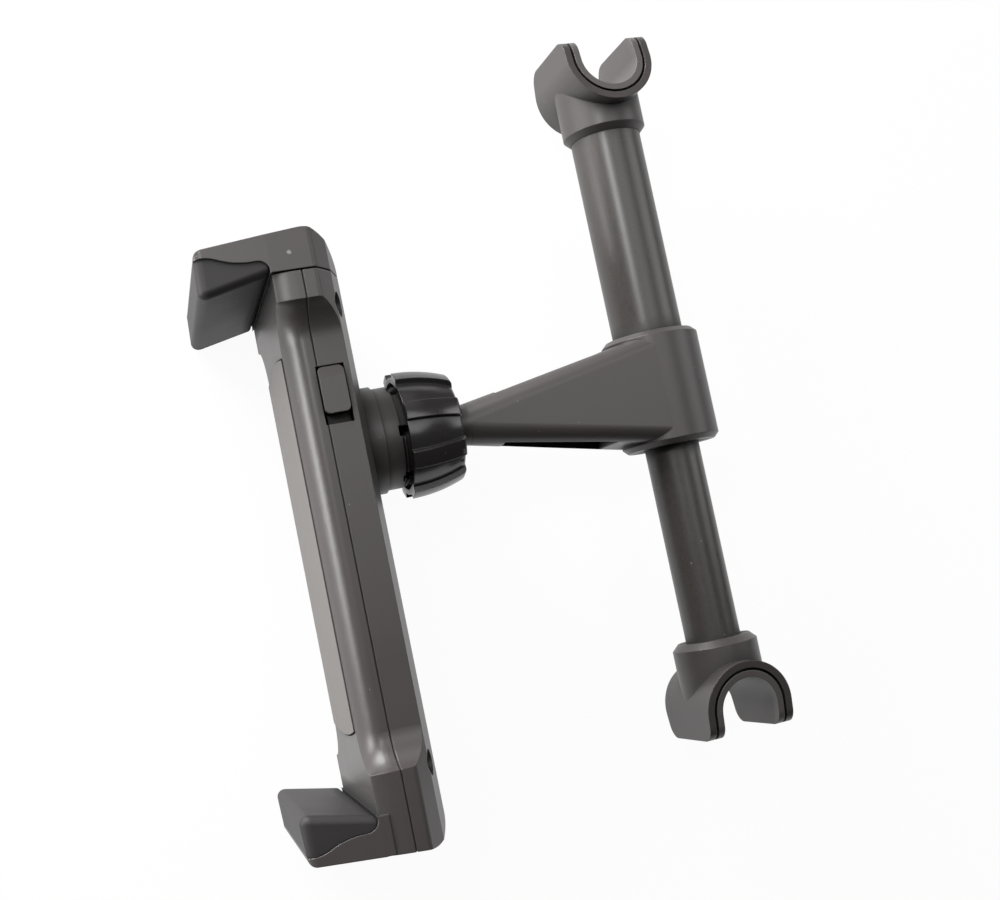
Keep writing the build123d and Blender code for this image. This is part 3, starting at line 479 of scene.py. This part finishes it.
for turn in (0.0, pi / 2):
    bpy.ops.object.select_all(action="DESELECT")
    bpy.ops.mesh.primitive_cube_add(size=1.0)
    punch = bpy.context.active_object
    bpy.ops.object.mode_set(mode="EDIT")
    bpy.ops.mesh.select_all(action="SELECT")
    bpy.ops.transform.resize(value=(CROSS_REACH, CROSS_WIDTH, 2 * CROSS_DEPTH))
    bpy.ops.transform.translate(value=(0.0, 0.0, HEAD_HEIGHT))
    pick(punch, "FACE", lambda place, normal: normal.z < -LEVEL_ENOUGH)
    bpy.ops.transform.resize(value=CROSS_TAPER)
    bpy.ops.object.mode_set(mode="OBJECT")
    punch.rotation_euler = (0.0, 0.0, turn)
    bpy.ops.object.transform_apply(location=True, rotation=True, scale=True)
    bpy.context.view_layer.objects.active = screw
    recess = screw.modifiers.new("cross_recess", "BOOLEAN")
    recess.operation = "DIFFERENCE"
    recess.solver = "EXACT"
    recess.object = punch
    bpy.ops.object.modifier_apply(modifier=recess.name)
    bpy.data.objects.remove(punch)
upright = Matrix.Rotation(-pi / 2, 4, "X")
spots = [Vector((x, SCREW_SEAT, z)) - BALL_CENTRE for x, z in SCREW_SPOTS]
screws = copy_to(screw, [to_holder @ Matrix.Translation(spot) @ upright for spot in spots])
bpy.ops.object.shade_smooth_by_angle(angle=radians(30.0))
screws.name = "cross_head_screws"
screws.data.materials.append(plated_steel)
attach(screws, "holder")
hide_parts("case_screws")

# The studio: a white paper floor under the object, two low soft boxes to its left, weak ones beyond its upper
# end, over it, by the camera and behind it, and none past its lower end, which falls into the dark.
# The paper glows only where the camera or a reflection sees it, and keeps the object's shadow.
FLOOR_Z = cad_box[0][2]
FLOOR_SIZE = 6.0
FLOOR_COLOUR = (0.82, 0.82, 0.82, 1.0)
FLOOR_ROUGHNESS = 0.9
SEEN_GLOW = 0.95
MIRRORED_GLOW = 0.95
WHITE = (1.0, 1.0, 1.0, 1.0)
ROOM_LEVEL = 0.02
bpy.ops.object.select_all(action="DESELECT")
bpy.ops.mesh.primitive_plane_add(size=FLOOR_SIZE, location=(0.0, 0.0, FLOOR_Z))
floor = bpy.context.active_object
floor.name = "studio_floor"
bpy.ops.object.transform_apply(location=True, rotation=True, scale=True)
paper = bpy.data.materials.new("white_paper")
paper.use_nodes = True
tree = paper.node_tree
principled = tree.nodes["Principled BSDF"]
principled.inputs["Base Color"].default_value = FLOOR_COLOUR
principled.inputs["Roughness"].default_value = FLOOR_ROUGHNESS
rays = add_node(tree, "ShaderNodeLightPath").outputs
mirrored = add_math(tree, "MAXIMUM", rays["Is Glossy Ray"], rays["Is Transmission Ray"])
seen = add_math(tree, "MULTIPLY", rays["Is Camera Ray"], SEEN_GLOW)
share = add_math(tree, "MAXIMUM", seen, add_math(tree, "MULTIPLY", mirrored, MIRRORED_GLOW))
glow = add_node(tree, "ShaderNodeEmission", {"Color": WHITE, "Strength": 1.0}).outputs[0]
mixed = add_node(tree, "ShaderNodeMixShader", {0: share, 1: principled.outputs[0], 2: glow}).outputs[0]
tree.links.new(mixed, tree.nodes["Material Output"].inputs["Surface"])
floor.data.materials.append(paper)


def soft_lamp(name, place, aim, size, watts):
    """A square soft box that faces a point."""
    bpy.ops.object.light_add(type="AREA", location=place)
    lamp = bpy.context.active_object
    lamp.name = name
    lamp.data.size = size
    lamp.data.energy = watts
    lamp.rotation_euler = (Vector(aim) - Vector(place)).to_track_quat("-Z", "Y").to_euler()


MIDDLE = (0.09, -0.05, 0.0)
soft_lamp("left_soft_box", (-0.44, -0.38, 0.12), MIDDLE, 0.40, 10.0)
soft_lamp("low_soft_box", (0.05, -0.50, 0.04), MIDDLE, 0.16, 1.5)
soft_lamp("end_soft_box", (-0.42, -0.09, 0.28), MIDDLE, 0.45, 0.3)
soft_lamp("camera_soft_box", (-0.16, -0.36, 0.66), MIDDLE, 0.15, 2.0)
soft_lamp("top_soft_box", (-0.14, 0.10, 0.85), MIDDLE, 0.50, 1.9)
soft_lamp("back_soft_box", (-0.10, 0.70, 0.45), MIDDLE, 0.50, 2.2)
world = bpy.data.worlds.new("dim_room")
bpy.context.scene.world = world
world.use_nodes = True
world.node_tree.nodes["Background"].inputs["Color"].default_value = WHITE
world.node_tree.nodes["Background"].inputs["Strength"].default_value = ROOM_LEVEL

# The camera looks down on the object from the photograph's place. Its place, directions and lens were
# recovered from the photograph's perspective.
CAMERA_PLACE = (0.12117, -0.15677, 0.34065)
CAMERA_RIGHT = (0.20230, 0.93591, 0.28836)
CAMERA_UP = (-0.97610, 0.16883, 0.13684)
CAMERA_BACK = (0.07939, -0.30916, 0.94769)
LENS = 52.23
SENSOR = 36.0
bpy.ops.object.camera_add()
camera = bpy.context.active_object
camera.name = "photo_camera"
turn = Matrix((CAMERA_RIGHT, CAMERA_UP, CAMERA_BACK)).transposed()
camera.matrix_world = Matrix.Translation(CAMERA_PLACE) @ turn.to_4x4()
camera.data.sensor_fit = "HORIZONTAL"
camera.data.sensor_width = SENSOR
camera.data.lens = LENS
camera.data.clip_start = 0.01
bpy.context.scene.camera = camera
bpy.context.scene.view_settings.view_transform = "Standard"
